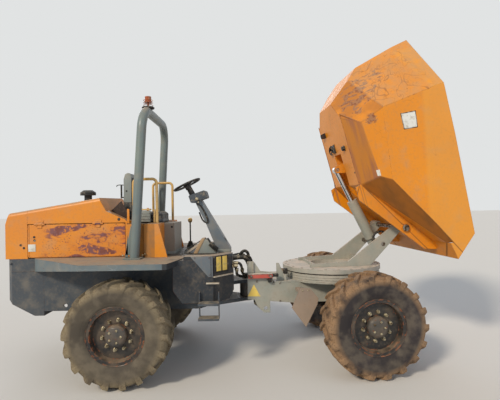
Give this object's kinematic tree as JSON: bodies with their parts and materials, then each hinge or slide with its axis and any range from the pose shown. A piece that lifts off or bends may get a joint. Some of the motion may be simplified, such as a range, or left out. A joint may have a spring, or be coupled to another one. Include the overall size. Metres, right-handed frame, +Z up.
{
  "type": "articulated swivel-skip site dumper",
  "caption": "Articulated site dumper: rear power unit with operator's seat and roll-over hoop, steering and oscillating pivot, slewing turntable and a forward-tipping skip.",
  "frame": {"origin": "centre of the parked machine's bounding box, on the ground under the tyres", "axes": "+X forward, +Y to the machine's left, +Z up; parked with the front unit steered 6 degrees to the left and the skip tipped up"},
  "size_m": [5.2196, 2.4336, 3.6809],
  "materials": {
    "yellow_paint": "satin, weathered",
    "grey_paint": "satin, dusty",
    "slate_paint": "satin, dusty",
    "hoop_paint": "satin",
    "black_paint": "satin, rusty",
    "red_paint": "satin",
    "cast": "painted, dusty",
    "steel": "machined",
    "rod_chrome": "polished",
    "tyre_rubber": "dusty rubber",
    "black_plastic": "matte",
    "seat_vinyl": "worn vinyl",
    "lens_amber": "gloss"
  },
  "bodies": {
    "rear_unit": {"rear_chassis": "slate_paint", "steering_pins": "steel", "counterweight": "cast", "engine_block": "cast", "bonnet_cover": "yellow_paint", "bonnet_rear_cap": "yellow_paint", "pre_cleaner": "black_plastic", "mudguards": "slate_paint", "side_tanks": "slate_paint", "steps": "slate_paint", "handrails": "yellow_paint", "platform": "slate_paint", "seat_console": "yellow_paint", "seat_box": "grey_paint", "seat": "seat_vinyl", "rollover_hoop": "hoop_paint", "hoop_feet": "hoop_paint", "beacon": "lens_amber", "steering_column": "grey_paint", "dash_box": "slate_paint", "controls": "black_plastic", "rear_axle": "cast"},
    "bonnet_door_right": {"bonnet_door_right": "yellow_paint"},
    "bonnet_door_left": {"bonnet_door_left": "yellow_paint"},
    "steering_wheel": {"steering_wheel": "black_plastic"},
    "centre_link": {"centre_link": "cast"},
    "front_unit": {"front_chassis": "grey_paint", "front_stiffeners": "grey_paint", "ring_deck": "grey_paint", "slew_base": "grey_paint", "lock_strut": "red_paint", "front_axle": "cast", "mud_flaps": "grey_paint"},
    "swivel": {"turntable": "grey_paint", "swivel_arms": "grey_paint", "swivel_pins": "steel"},
    "skip": {"skip": "yellow_paint"},
    "ram_barrel": {"ram_barrel": "grey_paint"},
    "ram_rod": {"ram_rod": "rod_chrome"},
    "wheel_rear_right": {"tyre_rear_right": "tyre_rubber", "rim_rear_right": "black_paint", "hub_rear_right": "black_paint"},
    "wheel_rear_left": {"tyre_rear_left": "tyre_rubber", "rim_rear_left": "black_paint", "hub_rear_left": "black_paint"},
    "wheel_front_right": {"tyre_front_right": "tyre_rubber", "rim_front_right": "black_paint", "hub_front_right": "black_paint"},
    "wheel_front_left": {"tyre_front_left": "tyre_rubber", "rim_front_left": "black_paint", "hub_front_left": "black_paint"}
  },
  "joints": [
    {"name": "steer", "type": "hinge", "parent": "rear_unit", "child": "centre_link", "pos_m": [0.10019, -0.08927, 0.76997], "axis": [0, 0, 1], "range_deg": [-39, 27]},
    {"name": "oscillate", "type": "hinge", "parent": "centre_link", "child": "front_unit", "pos_m": [0.10019, -0.08927, 0.76997], "axis": [0.9945, 0.1045, 0], "range_deg": [-10, 10]},
    {"name": "slew", "type": "hinge", "parent": "front_unit", "child": "swivel", "pos_m": [1.16432, 0.02257, 0.99997], "axis": [0, 0, 1], "range_deg": [-90, 90]},
    {"name": "tip", "type": "hinge", "parent": "swivel", "child": "skip", "pos_m": [1.91718, 0.1017, 1.50197], "axis": [-0.1045, 0.9945, 0], "range_deg": [-75, 0]},
    {"name": "ram_swing", "type": "hinge", "parent": "swivel", "child": "ram_barrel", "pos_m": [1.71628, 0.08059, 1.29997], "axis": [-0.1045, 0.9945, 0], "range_deg": [-84.73, 0.5]},
    {"name": "ram_slide", "type": "slide", "parent": "ram_barrel", "child": "ram_rod", "axis": [-0.4425, -0.0465, 0.8955], "range_m": [-0.32191, 0.001]},
    {"name": "steering_wheel_turn", "type": "hinge", "parent": "rear_unit", "child": "steering_wheel", "pos_m": [-0.61381, -0.08927, 2.05997], "axis": [-0.4226, 0, 0.9063], "continuous": true},
    {"name": "bonnet_door_right_lift", "type": "hinge", "parent": "rear_unit", "child": "bonnet_door_right", "pos_m": [-1.87981, -0.54527, 1.62097], "axis": [-1, 0, 0], "range_deg": [0, 80]},
    {"name": "wheel_rear_right_roll", "type": "hinge", "parent": "rear_unit", "child": "wheel_rear_right", "pos_m": [-1.17981, -1.01427, 0.53747], "axis": [0, 1, 0], "continuous": true},
    {"name": "wheel_front_right_roll", "type": "hinge", "parent": "front_unit", "child": "wheel_front_right", "pos_m": [1.4261, -0.88001, 0.53747], "axis": [-0.1045, 0.9945, 0], "continuous": true},
    {"name": "bonnet_door_left_lift", "type": "hinge", "parent": "rear_unit", "child": "bonnet_door_left", "pos_m": [-1.87981, 0.36673, 1.62097], "axis": [1, 0, 0], "range_deg": [0, 80]},
    {"name": "wheel_rear_left_roll", "type": "hinge", "parent": "rear_unit", "child": "wheel_rear_left", "pos_m": [-1.17981, 0.83573, 0.53747], "axis": [0, 1, 0], "continuous": true},
    {"name": "wheel_front_left_roll", "type": "hinge", "parent": "front_unit", "child": "wheel_front_left", "pos_m": [1.23273, 0.95986, 0.53747], "axis": [-0.1045, 0.9945, 0], "continuous": true}
  ],
  "couplings": [
    {"joint": "ram_swing", "follows": "tip", "ratio": 1.1231},
    {"joint": "ram_slide", "follows": "tip", "m_per_rad": 0.2444}
  ]
}
